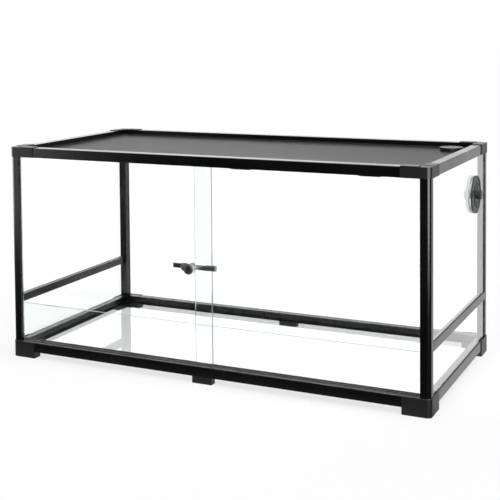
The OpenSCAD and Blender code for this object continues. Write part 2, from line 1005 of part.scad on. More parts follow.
// Knob with finger flutes round its rim
module knob(length) {
    flutes = 10;
    flute_d = 5;
    flute_at = knob_d / 2 + flute_d / 4;
    difference() {
        cylinder(d = knob_d, h = length);
        for (i = [0 : flutes - 1])
            rotate([0, 0, i * 360 / flutes])
                translate([flute_at, 0, knob_collar])
                    cylinder(d = flute_d, h = length);
    }
}

module vent_outer_knob() {
    color(plastic_color)
        at_vent(vent_cover_out + vent_cover_t)
            knob(knob_reach);
}

module vent_inner_knob() {
    color(plastic_color)
        at_vent(-pane_t - inner_knob_reach + inner_knob_l)
            mirror([0, 0, 1])
                difference() {
                    knob(inner_knob_l);
                    translate([0, 0, -cut])
                        cylinder(d = vent_shaft_d + 2 * knob_fit,
                                 h = inner_knob_l - knob_end_wall + cut);
                }
}

// Slim clear ring on the hub inside the pane, with finger notches
module vent_nut() {
    grip_count = 12;
    grip_d = 5;
    grip_floor = 1;
    nut_r = vent_hole_d / 2 + vent_nut_rim;
    color(clear_color)
        at_vent(-pane_t - vent_nut_t)
            difference() {
                ring(vent_hole_d / 2, nut_r, vent_nut_t);
                for (i = [0 : grip_count - 1])
                    rotate([0, 0, i * 360 / grip_count])
                        translate([nut_r, 0, -cut])
                            cylinder(d = grip_d, h = vent_nut_t - grip_floor + cut);
            }
}

// Screen top

// Profile of a screen bar: hollow, with a low shelf that carries the mesh
module screen_bar_plan() {
    difference() {
        translate([0, screen_z0]) square([screen_bar_w, screen_bar_h]);
        translate([screen_bar_w - screen_shelf, mesh_z])
            square([screen_shelf + cut, screen_step + cut]);
        translate([screen_wall, screen_z0 + screen_wall])
            square([screen_bar_w - 2 * screen_wall,
                    mesh_z - screen_z0 - 2 * screen_wall]);
    }
}

// Plan of a bar with mitred ends, from the outer edge inwards
module mitre_plan(length) {
    polygon([
        [0, 0],
        [length, 0],
        [length - screen_bar_w, screen_bar_w],
        [screen_bar_w, screen_bar_w],
    ]);
}

module mitred_bar(length) {
    intersection() {
        rotate([90, 0, 90])
            linear_extrude(length)
                screen_bar_plan();
        translate([0, 0, screen_z0 - cut])
            linear_extrude(screen_bar_h + 2 * cut)
                mitre_plan(length);
    }
}

module screen_front_bar() {
    color(frame_color)
        translate([-screen_x, screen_y0, 0])
            mitred_bar(2 * screen_x);
}

module screen_rear_bar() {
    color(frame_color)
        translate([screen_x, screen_y1, 0])
            rotate([0, 0, 180])
                mitred_bar(2 * screen_x);
}

module screen_left_bar() {
    color(frame_color)
        translate([-screen_x, screen_y1, 0])
            rotate([0, 0, -90])
                mitred_bar(screen_y1 - screen_y0);
}

module screen_right_bar() {
    color(frame_color)
        translate([screen_x, screen_y0, 0])
            rotate([0, 0, 90])
                mitred_bar(screen_y1 - screen_y0);
}

// L-shaped keys inside the hollow bars at the four corners
module screen_corner_keys() {
    inset = screen_wall + key_fit;
    w = screen_bar_w - 2 * inset;
    h = mesh_z - screen_z0 - 2 * inset;
    mid_y = (screen_y0 + screen_y1) / 2;
    half_y = (screen_y1 - screen_y0) / 2;
    color(plastic_color)
        for (right = [0, 1], rear = [0, 1])
            translate([0, mid_y, screen_z0 + inset])
                mirror([right, 0, 0])
                    mirror([0, rear, 0])
                        translate([inset - screen_x, inset - half_y, 0]) {
                            cube([key_arm, w, h]);
                            cube([w, key_arm, h]);
                        }
}

// Woven sheet in two panels, with their seam just beside the cable port
module screen_mesh() {
    edge = screen_bar_w - screen_shelf + spline_gap;
    hub_r = port_bore_d / 2 + port_hub_wall + port_fit;
    end_x = screen_x - edge;
    seam_x = port_x - port_d / 2 - mesh_seam_off;
    depth = screen_y1 - screen_y0 - 2 * edge;
    color(mesh_color)
        translate([0, screen_y0 + edge, mesh_z]) {
            translate([-end_x, 0, 0])
                cube([end_x + seam_x - mesh_seam, depth, mesh_t]);
            difference() {
                translate([seam_x, 0, 0])
                    cube([end_x - seam_x, depth, mesh_t]);
                translate([port_x, port_y - screen_y0 - edge, -cut])
                    cylinder(r = hub_r, h = mesh_t + 2 * cut);
            }
        }
}

// Rubber cord that holds the mesh down along the shelf
module screen_spline() {
    edge = screen_bar_w - screen_shelf + spline_gap;
    x = screen_x - edge;
    y0 = screen_y0 + edge;
    y1 = screen_y1 - edge;
    color(rubber_color)
        translate([0, 0, mesh_z + mesh_t])
            linear_extrude(spline_h)
                difference() {
                    translate([-x, y0]) square([2 * x, y1 - y0]);
                    translate([spline_w - x, y0 + spline_w])
                        square([2 * (x - spline_w), y1 - y0 - 2 * spline_w]);
                }
}

// Cable port

module port_ring() {
    bore_r = port_bore_d / 2;
    hub_r = bore_r + port_hub_wall;
    hub_z0 = mesh_z - port_nut_h - port_hub_out;
    color(plastic_color)
        difference() {
            union() {
                translate([port_x, port_y, mesh_z + mesh_t])
                    cylinder(d = port_d - 2 * port_ring_inset, h = port_flange_h);
                translate([port_x, port_y, hub_z0])
                    cylinder(r = hub_r, h = mesh_z + mesh_t + cut - hub_z0);
            }
            translate([port_x, port_y, hub_z0 - cut])
                cylinder(r = bore_r, h = 2 * port_h + port_nut_h);
        }
}

module port_nut() {
    hub_r = port_bore_d / 2 + port_hub_wall;
    color(plastic_color)
        translate([port_x, port_y, mesh_z - port_nut_h])
            ring(hub_r + port_fit, port_d / 2 - port_ring_inset, port_nut_h);
}

// Cap with a skirt that plugs into the port's bore and a slightly dished top
module port_cap() {
    z0 = mesh_z + mesh_t + port_flange_h;
    z1 = mesh_z + port_h;
    skirt_r = port_bore_d / 2 - port_fit;
    skirt_h = port_flange_h + mesh_t + port_nut_h - port_hub_out;
    color(plastic_color)
        translate([port_x, port_y, 0])
            difference() {
                union() {
                    translate([0, 0, z0]) cylinder(d = port_d, h = z1 - z0);
                    translate([0, 0, z0 - skirt_h]) cylinder(r = skirt_r, h = skirt_h + cut);
                }
                translate([0, 0, z0 - skirt_h - cut])
                    cylinder(r = skirt_r - port_skirt_wall, h = skirt_h + 2 * cut);
                translate([0, 0, z1 - port_lip / 2])
                    cylinder(d = port_d - 2 * port_lip_w, h = port_lip);
            }
}

placed() post(false, false);  // front_left_post
placed() post(true, false);  // front_right_post
placed() post(false, true);  // rear_left_post
placed() post(true, true);  // rear_right_post
placed() top_front_rail();
placed() top_rear_rail();
placed() top_left_rail();
placed() top_right_rail();
placed() bottom_front_rail();
placed() bottom_rear_rail();
placed() bottom_left_rail();
placed() bottom_right_rail();
placed() left_side_bar();
placed() right_side_bar();
placed() corner_cap(false, false);  // front_left_cap
placed() corner_cap(true, false);  // front_right_cap
placed() corner_cap(false, true);  // rear_left_cap
placed() corner_cap(true, true);  // rear_right_cap
placed() corner_foot(false, false);  // front_left_foot
placed() corner_foot(true, false);  // front_right_foot
placed() corner_foot(false, true);  // rear_left_foot
placed() corner_foot(true, true);  // rear_right_foot
placed() front_middle_foot();
placed() rear_middle_foot();
placed() foot_screws();
placed() base_panel();
placed() back_glass();
placed() left_lower_glass();
placed() left_upper_glass();
placed() right_lower_glass();
placed() right_upper_glass();
placed() dam_glass();
placed() bottom_door_track();
placed() top_door_track();
placed() left_door_glass();
placed() left_door_glide();
placed() right_door_glass();
placed() right_door_glides();
placed() lock_bar();
placed() lock_body();
placed() lock_plug();
placed() vent_flange();
placed() vent_cover();
placed() vent_nut();
placed() vent_outer_knob();
placed() vent_inner_knob();
placed() screen_front_bar();
placed() screen_rear_bar();
placed() screen_left_bar();
placed() screen_right_bar();
placed() screen_corner_keys();
placed() screen_mesh();
placed() screen_spline();
placed() port_ring();
placed() port_nut();
placed() port_cap();
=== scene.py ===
"""Looks of the glass reptile terrarium, laid out as a Blender add-on and run as a script."""

import math

import bpy
from mathutils import Matrix, Vector

bl_info = {
    "name": "Reptile terrarium",
    "version": (1, 0, 0),
    "blender": (4, 5, 0),
    "location": "3D View > Sidebar > Terrarium",
    "description": "Finishes a glass reptile terrarium with sliding doors and sets its stage",
    "category": "Object",
}

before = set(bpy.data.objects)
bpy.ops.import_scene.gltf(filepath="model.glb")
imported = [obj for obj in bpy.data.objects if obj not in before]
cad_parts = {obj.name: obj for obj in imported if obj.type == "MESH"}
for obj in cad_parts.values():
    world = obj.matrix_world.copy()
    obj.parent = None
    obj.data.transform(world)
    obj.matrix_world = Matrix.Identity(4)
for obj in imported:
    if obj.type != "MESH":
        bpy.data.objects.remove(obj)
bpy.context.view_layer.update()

# Pieces of the object by finish
POSTS = ("front_left_post", "front_right_post", "rear_left_post", "rear_right_post")
RAILS = tuple(
    f"{level}_{side}_rail"
    for level in ("top", "bottom")
    for side in ("front", "rear", "left", "right")
)
SIDE_BARS = ("left_side_bar", "right_side_bar")
CORNERS = tuple(
    f"{end}_{side}_{kind}"
    for kind in ("cap", "foot")
    for end in ("front", "rear")
    for side in ("left", "right")
)
MIDDLE_FEET = ("front_middle_foot", "rear_middle_foot")
FRONT_PANES = ("left_door_glass", "right_door_glass", "dam_glass", "back_glass")
SIDE_PANES = ("left_lower_glass", "left_upper_glass", "right_lower_glass", "right_upper_glass")
TRACKS = ("bottom_door_track", "top_door_track")
GLIDES = ("left_door_glide", "right_door_glides")
SCREEN_BARS = tuple(f"screen_{side}_bar" for side in ("front", "rear", "left", "right"))
ALONG_X = (1.0, 0.0, 0.0)
ALONG_Y = (0.0, 1.0, 0.0)
ALONG_Z = (0.0, 0.0, 1.0)
MILLIMETRE = 0.001
WHITE = (1.0, 1.0, 1.0, 1.0)
# Share by which the white behind the tank is raised where it is seen through glass
GAIN_THROUGH_GLASS = 0.28
# Sockets of the Mix node that share their names, by their place on the node
MIX_FACTOR = 0
MIX_VALUES = (2, 3)
MIX_COLOURS = (6, 7)
MIXED_VALUE = 0
MIXED_COLOUR = 2


class TerrariumSizes(bpy.types.PropertyGroup):
    """Sizes of the finish"""

    bar_round: bpy.props.FloatProperty(
        name="Bar edge radius",
        description="Rounding of the metal bars' edges",
        default=0.0007,
        unit="LENGTH",
    )
    plastic_round: bpy.props.FloatProperty(
        name="Plastic edge radius",
        description="Rounding of the moulded corner pieces' edges",
        default=0.0011,
        unit="LENGTH",
    )
    small_round: bpy.props.FloatProperty(
        name="Small edge radius",
        description="Rounding of small parts such as the lock and the glides",
        default=0.0003,
        unit="LENGTH",
    )
    glass_chamfer: bpy.props.FloatProperty(
        name="Glass chamfer",
        description="Width of the ground chamfer on the panes' cut edges",
        default=0.0007,
        unit="LENGTH",
    )
    coat_grain: bpy.props.FloatProperty(
        name="Coat grain",
        description="Size of the orange peel in the bars' coat",
        default=0.0012,
        unit="LENGTH",
    )
    mould_grain: bpy.props.FloatProperty(
        name="Mould grain",
        description="Size of the texture on the moulded plastic",
        default=0.0007,
        unit="LENGTH",
    )
    mesh_pitch: bpy.props.FloatProperty(
        name="Mesh pitch",
        description="Distance between two wires of the screen",
        default=0.0016,
        unit="LENGTH",
    )
    wire_width: bpy.props.FloatProperty(
        name="Wire width",
        description="Thickness of one wire of the screen",
        default=0.00115,
        unit="LENGTH",
    )


def colour(name, description, default):
    """A colour that a user can change."""
    return bpy.props.FloatVectorProperty(
        name=name,
        description=description,
        default=default,
        subtype="COLOR",
        size=4,
        min=0.0,
        max=1.0,
    )


class TerrariumColours(bpy.types.PropertyGroup):
    """Colours of the finish"""

    coat: colour("Bar coat", "Satin coat of the bars", (0.0022, 0.0022, 0.0026, 1.0))
    corner: colour("Corner plastic", "Caps and feet", (0.0052, 0.0054, 0.0060, 1.0))
    track: colour("Track plastic", "Door tracks and glides", (0.006, 0.006, 0.007, 1.0))
    dust: colour("Dust", "Dust that settles on upward faces", (0.42, 0.41, 0.39, 1.0))
    glass: colour("Glass", "Clear glass seen through its faces", (0.985, 0.995, 0.992, 1.0))
    glass_edge: colour("Glass edge", "Cut edges of the panes", (0.38, 0.50, 0.47, 1.0))
    wire: colour("Mesh wire", "Wires of the screen", (0.118, 0.120, 0.124, 1.0))
    rubber: colour("Rubber cord", "Cord that holds the mesh", (0.02, 0.02, 0.02, 1.0))
    vent: colour("Vent cover", "Turning cover of the vent", (0.014, 0.0145, 0.016, 1.0))
    vent_clear: colour("Vent body", "Clear body of the vent", (0.86, 0.88, 0.90, 1.0))
    port: colour("Cable port", "Cap and ring of the port", (0.010, 0.0105, 0.0115, 1.0))
    chrome: colour("Lock chrome", "Body of the lock", (0.90, 0.91, 0.93, 1.0))
    lock_steel: colour("Lock bar", "Toothed bar of the lock", (0.50, 0.51, 0.53, 1.0))
    plug: colour("Lock plug", "Face with the keyway", (0.30, 0.30, 0.31, 1.0))
    zinc: colour("Screw zinc", "Screws under the feet", (0.55, 0.56, 0.58, 1.0))
    floor: colour("Floor", "Floor under the terrarium", (0.97, 0.97, 0.97, 1.0))


class Shading:
    """Adds nodes to one material or node group and joins them."""

    def __init__(self, tree):
        self.tree = tree

    def feed(self, socket, value):
        """Links an output, or sets a plain value, on an input."""
        if isinstance(value, bpy.types.NodeSocket):
            self.tree.links.new(value, socket)
        else:
            socket.default_value = value

    def add(self, kind, inputs=None, **settings):
        """Adds a node, with values or links for its inputs and settings for itself."""
        node = self.tree.nodes.new(kind)
        for name, value in settings.items():
            setattr(node, name, value)
        for socket, value in (inputs or {}).items():
            self.feed(node.inputs[socket], value)
        return node

    def math(self, operation, a, b=0.0):
        return self.add("ShaderNodeMath", {0: a, 1: b}, operation=operation).outputs[0]

    def stretched(self, vector, factors):
        """A vector with each part multiplied by its own factor."""
        node = self.add("ShaderNodeVectorMath", {0: vector, 1: factors}, operation="MULTIPLY")
        return node.outputs["Vector"]

    def scaled(self, vector, factor):
        """A vector or colour multiplied by one factor."""
        node = self.add("ShaderNodeVectorMath", {0: vector, "Scale": factor}, operation="SCALE")
        return node.outputs["Vector"]

    def dot(self, a, b):
        node = self.add("ShaderNodeVectorMath", {0: a, 1: b}, operation="DOT_PRODUCT")
        return node.outputs["Value"]

    def ranged(self, value, band, to=(0.0, 1.0), smooth=False):
        """Maps a value from a band, given by its two ends, to another one, and holds it there."""
        inputs = {
            "Value": value,
            "From Min": band[0],
            "From Max": band[1],
            "To Min": to[0],
            "To Max": to[1],
        }
        shape = "SMOOTHSTEP" if smooth else "LINEAR"
        return self.add("ShaderNodeMapRange", inputs, interpolation_type=shape).outputs["Result"]

    def mix_colours(self, factor, a, b):
        """The first colour where the factor is 0, the second where it is 1."""
        inputs = {MIX_FACTOR: factor, MIX_COLOURS[0]: a, MIX_COLOURS[1]: b}
        return self.add("ShaderNodeMix", inputs, data_type="RGBA").outputs[MIXED_COLOUR]

    def mix_values(self, factor, a, b):
        inputs = {MIX_FACTOR: factor, MIX_VALUES[0]: a, MIX_VALUES[1]: b}
        return self.add("ShaderNodeMix", inputs).outputs[MIXED_VALUE]

    def noise(self, vector, scale, detail=2.0):
        inputs = {"Vector": vector, "Scale": scale, "Detail": detail}
        return self.add("ShaderNodeTexNoise", inputs).outputs[0]

    def object_space(self):
        """Places in metres, measured in the piece's own space."""
        return self.add("ShaderNodeTexCoord").outputs["Object"]

    def bump(self, height, distance, strength=1.0):
        inputs = {"Height": height, "Distance": distance, "Strength": strength}
        return self.add("ShaderNodeBump", inputs).outputs[0]

    def place(self, group, **values):
        """Places a node group, with its inputs named in words joined by underscores."""
        node = self.add("ShaderNodeGroup", node_tree=group)
        for name, value in values.items():
            self.feed(node.inputs[name.replace("_", " ").title()], value)
        return node.outputs


def new_group(name, inputs, outputs):
    """Starts a node group with named sockets."""
    tree = bpy.data.node_groups.new(name, "ShaderNodeTree")
    kinds = {1: "NodeSocketFloat", 3: "NodeSocketVector", 4: "NodeSocketColor"}
    for label, default in inputs.items():
        width = len(default) if isinstance(default, tuple) else 1
        socket = tree.interface.new_socket(label, in_out="INPUT", socket_type=kinds[width])
        socket.default_value = default
    for label, width in outputs.items():
        tree.interface.new_socket(label, in_out="OUTPUT", socket_type=kinds[width])
    shading = Shading(tree)
    return shading, shading.add("NodeGroupInput").outputs, shading.add("NodeGroupOutput").inputs


def known_group(name, build):
    """The node group of that name, built the first time that it is asked for."""
    return bpy.data.node_groups.get(name) or build(name)


def build_surface_grain(name):
    """Fine texture with slow changes of tone over the surface."""
    cloud_scale = 9.0
    cloud_detail = 3.0
    cloud_share = 0.7
    tone_band = (0.35, 0.65)
    ripple_band = (0.3, 0.7)
    ripple = (-0.05, 0.05)
    shading, given, made = new_group(
        name,
        {"Colour": (0.5, 0.5, 0.5, 1.0), "Roughness": 0.5, "Tone": 0.1, "Grain Size": 0.001},
        {"Colour": 4, "Roughness": 1, "Height": 1},
    )
    place = shading.object_space()
    clouds = shading.noise(place, cloud_scale, cloud_detail)
    fine = shading.noise(place, shading.math("DIVIDE", 1.0, given["Grain Size"]))
    patch = shading.math(
        "ADD",
        shading.math("MULTIPLY", clouds, cloud_share),
        shading.math("MULTIPLY", fine, 1.0 - cloud_share),
    )
    darker = shading.scaled(given["Colour"], shading.math("SUBTRACT", 1.0, given["Tone"]))
    lighter = shading.scaled(given["Colour"], shading.math("ADD", 1.0, given["Tone"]))
    toned = shading.mix_colours(shading.ranged(patch, tone_band), darker, lighter)
    change = shading.ranged(patch, ripple_band, ripple)
    shading.feed(made["Colour"], toned)
    shading.feed(made["Roughness"], shading.math("ADD", given["Roughness"], change))
    shading.feed(made["Height"], fine)
    return shading.tree


def build_settled_dust(name):
    """Thin dust on faces that look up, thicker in patches."""
    upward = (0.5, 1.0)
    patch_scale = 22.0
    patch_detail = 5.0
    patch_band = (0.35, 0.7)
    patch_cover = (0.3, 1.0)
    dust_roughness = 0.9
    shading, given, made = new_group(
        name,
        {
            "Colour": (0.5, 0.5, 0.5, 1.0),
            "Roughness": 0.5,
            "Dust Colour": (0.4, 0.4, 0.4, 1.0),
            "Amount": 0.1,
        },
        {"Colour": 4, "Roughness": 1},
    )
    normal = shading.add("ShaderNodeNewGeometry").outputs["Normal"]
    up = shading.ranged(shading.dot(normal, ALONG_Z), upward, smooth=True)
    clouds = shading.noise(shading.object_space(), patch_scale, patch_detail)
    patches = shading.ranged(clouds, patch_band, patch_cover)
    cover = shading.math("MULTIPLY", shading.math("MULTIPLY", up, patches), given["Amount"])
    shading.feed(made["Colour"], shading.mix_colours(cover, given["Colour"], given["Dust Colour"]))
    dusted = shading.mix_values(cover, given["Roughness"], dust_roughness)
    shading.feed(made["Roughness"], dusted)
    return shading.tree


def build_pane_edges(name):
    """Tells a pane's two faces from its cut edges, and adds faint wipe marks to the faces."""
    turned_away = (0.9, 0.5)
    wipe_stretch = (2.5, 2.5, 9.0)
    wipe_scale = 3.0
    wipe_detail = 4.0
    wipe_band = (0.55, 0.8)
    wipe_roughness = (0.0, 0.025)
    shading, given, made = new_group(
        name,
        {
            "Face Direction": ALONG_Y,
            "Face Colour": WHITE,
            "Edge Colour": (0.4, 0.5, 0.5, 1.0),
            "Edge Roughness": 0.35,
        },
        {"Colour": 4, "Roughness": 1},
    )
    normal = shading.add("ShaderNodeTexCoord").outputs["Normal"]
    facing = shading.math("ABSOLUTE", shading.dot(normal, given["Face Direction"]))
    edge = shading.ranged(facing, turned_away)
    streaks = shading.stretched(shading.object_space(), wipe_stretch)
    marks = shading.ranged(shading.noise(streaks, wipe_scale, wipe_detail), wipe_band, wipe_roughness)
    coloured = shading.mix_colours(edge, given["Face Colour"], given["Edge Colour"])
    shading.feed(made["Colour"], coloured)
    shading.feed(made["Roughness"], shading.mix_values(edge, marks, given["Edge Roughness"]))
    return shading.tree


def build_woven_wire(name):
    """Plain weave of round wires, seen square on, with painted shade where each wire runs low, at its
    sides and under the crossing wire.
    """
    cell_middle = 0.5
    low_wire = 0.6
    solid_height = (0.02, 0.12)
    # Painted shade: the wire colour falls to 0.55 of itself where the wire runs low
    painted_shade_band = (0.1, 1.0)
    painted_shade = (0.55, 1.0)
    shading, given, made = new_group(
        name, {"Pitch": 0.0016, "Wire Width": 0.001}, {"Cover": 1, "Height": 1, "Tone": 1}
    )
    axes = shading.add("ShaderNodeSeparateXYZ", {0: shading.object_space()}).outputs
    half = shading.math("DIVIDE", given["Wire Width"], shading.math("MULTIPLY", given["Pitch"], 2.0))
    profiles = []
    cells = []
    for axis in ("X", "Y"):
        turns = shading.math("DIVIDE", axes[axis], given["Pitch"])
        offset = shading.math("SUBTRACT", shading.math("FRACT", turns), cell_middle)
        away = shading.math("DIVIDE", shading.math("ABSOLUTE", offset), half)
        profiles.append(shading.ranged(away, (1.0, 0.0), smooth=True))
        cells.append(shading.math("FLOOR", turns))
    parity = shading.math("MODULO", shading.math("ADD", cells[0], cells[1]), 2.0)
    odd = shading.math("ABSOLUTE", parity)
    over = shading.ranged(odd, (0.0, 1.0), (low_wire, 1.0))
    under = shading.ranged(odd, (0.0, 1.0), (1.0, low_wire))
    height = shading.math(
        "MAXIMUM",
        shading.math("MULTIPLY", profiles[0], over),
        shading.math("MULTIPLY", profiles[1], under),
    )
    shading.feed(made["Height"], height)
    shading.feed(made["Cover"], shading.ranged(height, solid_height))
    # The Tone output is painted shade on the wires, not their own colour
    shading.feed(made["Tone"], shading.ranged(height, painted_shade_band, painted_shade))
    return shading.tree


def build_brushed_lines(name):
    """Fine parallel scratches along one direction."""
    line_detail = 3.0
    line_band = (0.3, 0.7)
    swing = (-0.08, 0.08)
    shading, given, made = new_group(
        name,
        {"Stretch": (1.0, 30.0, 30.0), "Scale": 120.0, "Roughness": 0.3},
        {"Roughness": 1, "Height": 1},
    )
    stretched = shading.stretched(shading.object_space(), given["Stretch"])
    lines = shading.noise(stretched, given["Scale"], line_detail)
    change = shading.ranged(lines, line_band, swing)
    shading.feed(made["Height"], lines)
    shading.feed(made["Roughness"], shading.math("ADD", given["Roughness"], change))
    return shading.tree


def start_material(name):
    """A new material: its shading tools, its Principled shader and its output."""
    material = bpy.data.materials.new(name)
    material.use_nodes = True
    tree = material.node_tree
    tree.nodes.clear()
    shading = Shading(tree)
    shader = shading.add("ShaderNodeBsdfPrincipled")
    output = shading.add("ShaderNodeOutputMaterial", {"Surface": shader.outputs[0]})
    return material, shading, shader.inputs, output.inputs


def moulded(name, base, roughness, tone, grain, relief, dust_colour, dust, specular=0.5):
    """A black or grey piece with grain and a little dust."""
    material, shading, shader, _ = start_material(name)
    grained = shading.place(
        known_group("surface_grain", build_surface_grain),
        colour=base,
        roughness=roughness,
        tone=tone,
        grain_size=grain,
    )
    dusted = shading.place(
        known_group("settled_dust", build_settled_dust),
        colour=grained["Colour"],
        roughness=grained["Roughness"],
        dust_colour=dust_colour,
        amount=dust,
    )
    shading.feed(shader["Base Color"], dusted["Colour"])
    shading.feed(shader["Roughness"], dusted["Roughness"])
    shading.feed(shader["Normal"], shading.bump(grained["Height"], relief))
    shader["Specular IOR Level"].default_value = specular
    return material


def bar_coat(sizes, colours):
    """Satin black coat of the posts, rails, side bars and screen bars."""
    return moulded(
        "bar_coat",
        colours.coat,
        roughness=0.25,
        tone=0.12,
        grain=sizes.coat_grain,
        relief=0.00002,
        dust_colour=colours.dust,
        dust=0.05,
    )


def corner_plastic(sizes, colours):
    """Grained black plastic of the corner caps and the feet."""
    return moulded(
        "corner_plastic",
        colours.corner,
        roughness=0.46,
        tone=0.15,
        grain=sizes.mould_grain,
        relief=0.00005,
        dust_colour=colours.dust,
        dust=0.07,
    )


def track_plastic(sizes, colours):
    """Smooth black plastic of the door tracks, glides and corner keys."""
    return moulded(
        "track_plastic",
        colours.track,
        roughness=0.38,
        tone=0.1,
        grain=sizes.mould_grain,
        relief=0.00003,
        dust_colour=colours.dust,
        dust=0.12,
    )


def vent_plastic(sizes, colours):
    """Dark grey plastic of the vent's cover and knobs."""
    return moulded(
        "vent_plastic",
        colours.vent,
        roughness=0.42,
        tone=0.15,
        grain=sizes.mould_grain,
        relief=0.00004,
        dust_colour=colours.dust,
        dust=0.08,
    )


def port_plastic(sizes, colours):
    """Dark grey plastic of the cable port."""
    return moulded(
        "port_plastic",
        colours.port,
        roughness=0.40,
        tone=0.12,
        grain=sizes.mould_grain,
        relief=0.00004,
        dust_colour=colours.dust,
        dust=0.02,
    )


def rubber_cord(sizes, colours):
    """Black rubber of the cord that holds the mesh."""
    return moulded(
        "rubber_cord",
        colours.rubber,
        roughness=0.65,
        tone=0.2,
        grain=sizes.mould_grain,
        relief=0.0001,
        dust_colour=colours.dust,
        dust=0.1,
        specular=0.3,
    )


def let_lamps_through(shading, output, tint):
    """Lets light from lamps pass straight through clear pieces."""
    surface = output["Surface"].links[0].from_socket
    ray = shading.add("ShaderNodeLightPath").outputs["Is Shadow Ray"]
    clear = shading.add("ShaderNodeBsdfTransparent", {"Color": tint})
    mixed = shading.add("ShaderNodeMixShader", {0: ray, 1: surface, 2: clear.outputs[0]})
    shading.feed(output["Surface"], mixed.outputs[0])


def pane_glass(name, direction, colours):
    """Clear glass with ground edges, for panes that face one direction."""
    lamp_tint = (0.93, 0.95, 0.94, 1.0)
    material, shading, shader, output = start_material(name)
    pane = shading.place(
        known_group("pane_edges", build_pane_edges),
        face_direction=direction,
        face_colour=colours.glass,
        edge_colour=colours.glass_edge,
        edge_roughness=0.35,
    )
    shading.feed(shader["Base Color"], pane["Colour"])
    shading.feed(shader["Roughness"], pane["Roughness"])
    shader["Transmission Weight"].default_value = 1.0
    shader["IOR"].default_value = 1.5
    let_lamps_through(shading, output, lamp_tint)
    return material


def clear_plastic(sizes, colours):
    """Clear moulded plastic of the vent's body."""
    relief = 0.00002
    lamp_tint = (0.85, 0.87, 0.88, 1.0)
    material, shading, shader, output = start_material("clear_plastic")
    grained = shading.place(
        known_group("surface_grain", build_surface_grain),
        colour=colours.vent_clear,
        roughness=0.12,
        tone=0.03,
        grain_size=sizes.mould_grain,
    )
    shading.feed(shader["Base Color"], grained["Colour"])
    shading.feed(shader["Roughness"], grained["Roughness"])
    shading.feed(shader["Normal"], shading.bump(grained["Height"], relief))
    shader["Transmission Weight"].default_value = 0.78
    shader["IOR"].default_value = 1.3
    let_lamps_through(shading, output, lamp_tint)
    return material


def wire_mesh(sizes, colours):
    """Woven wire of the screen, open between its wires, with painted shade where the wires run low.
    """
    relief = 0.0002
    relief_strength = 0.25
    material, shading, shader, _ = start_material("wire_mesh")
    weave = shading.place(
        known_group("woven_wire", build_woven_wire),
        pitch=sizes.mesh_pitch,
        wire_width=sizes.wire_width,
    )
    # The wire colour is darkened by the weave's painted shade where the wires run low
    dusted = shading.place(
        known_group("settled_dust", build_settled_dust),
        colour=shading.scaled(colours.wire[:3], weave["Tone"]),
        roughness=0.36,
        dust_colour=colours.dust,
        amount=0.03,
    )
    shading.feed(shader["Base Color"], dusted["Colour"])
    shading.feed(shader["Roughness"], dusted["Roughness"])
    shading.feed(shader["Alpha"], weave["Cover"])
    shading.feed(shader["Normal"], shading.bump(weave["Height"], relief, relief_strength))
    shader["Metallic"].default_value = 1.0
    shader["Specular Tint"].default_value = (0.5, 0.5, 0.5, 1.0)
    return material


def metal(name, base, roughness, stretch, scale, relief):
    """Metal with fine lines from rolling, brushing or turning."""
    material, shading, shader, _ = start_material(name)
    lines = shading.place(
        known_group("brushed_lines", build_brushed_lines),
        stretch=stretch,
        scale=scale,
        roughness=roughness,
    )
    grained = shading.place(
        known_group("surface_grain", build_surface_grain),
        colour=base,
        roughness=lines["Roughness"],
        tone=0.08,
        grain_size=0.0015,
    )
    shading.feed(shader["Base Color"], grained["Colour"])
    shading.feed(shader["Roughness"], grained["Roughness"])
    shading.feed(shader["Normal"], shading.bump(lines["Height"], relief))
    shader["Metallic"].default_value = 1.0
    return material


def dress(names, material):
    """Gives CAD nodes their finish."""
    for name in names:
        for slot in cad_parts[name].material_slots:
            slot.material = material


def soften(names, width, segments=2, sharp=35.0):
    """Rounds the edges of CAD nodes that turn by more than the sharp angle."""
    weld_distance = 0.01 * MILLIMETRE
    for name in names:
        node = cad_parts[name]
        weld = node.modifiers.new("weld", "WELD")
        weld.merge_threshold = weld_distance
        bevel = node.modifiers.new("round", "BEVEL")
        bevel.width = width
        bevel.segments = segments
        bevel.limit_method = "ANGLE"
        bevel.angle_limit = math.radians(sharp)
        bevel.use_clamp_overlap = True
        bevel.miter_outer = "MITER_ARC"
        even = node.modifiers.new("normals", "WEIGHTED_NORMAL")
        even.keep_sharp = True


def sizes_and_colours(context):
    """The settings that the panel shows."""
    return context.scene.terrarium_sizes, context.scene.terrarium_colours


class TERRARIUM_OT_bars(bpy.types.Operator):
    """Finish the posts, rails and side bars with a satin coat"""

    bl_idname = "terrarium.bars"
    bl_label = "Frame bars"

    def execute(self, context):
        sizes, colours = sizes_and_colours(context)
        bars = POSTS + RAILS + SIDE_BARS
        dress(bars, bar_coat(sizes, colours))
        soften(bars, sizes.bar_round)
        return {"FINISHED"}


class TERRARIUM_OT_corners(bpy.types.Operator):
    """Finish the corner caps, the feet and the screws under them"""

    bl_idname = "terrarium.corners"
    bl_label = "Corner pieces and feet"

    def execute(self, context):
        sizes, colours = sizes_and_colours(context)
        pieces = CORNERS + MIDDLE_FEET
        dress(pieces, corner_plastic(sizes, colours))
        soften(pieces, sizes.plastic_round, segments=3)
        zinc = metal(
            "screw_zinc",
            colours.zinc,
            roughness=0.35,
            stretch=(1.0, 1.0, 6.0),
            scale=400.0,
            relief=0.00002,
        )
        dress(("foot_screws",), zinc)
        soften(("foot_screws",), sizes.small_round)
        return {"FINISHED"}


class TERRARIUM_OT_glass(bpy.types.Operator):
    """Finish the fixed panes, the doors and the base panel"""

    bl_idname = "terrarium.glass"
    bl_label = "Glass panes"

    def execute(self, context):
        sizes, colours = sizes_and_colours(context)
        dress(FRONT_PANES, pane_glass("front_glass", ALONG_Y, colours))
        dress(SIDE_PANES, pane_glass("side_glass", ALONG_X, colours))
        dress(("base_panel",), pane_glass("base_glass", ALONG_Z, colours))
        soften(FRONT_PANES + SIDE_PANES + ("base_panel",), sizes.glass_chamfer, segments=1)
        return {"FINISHED"}


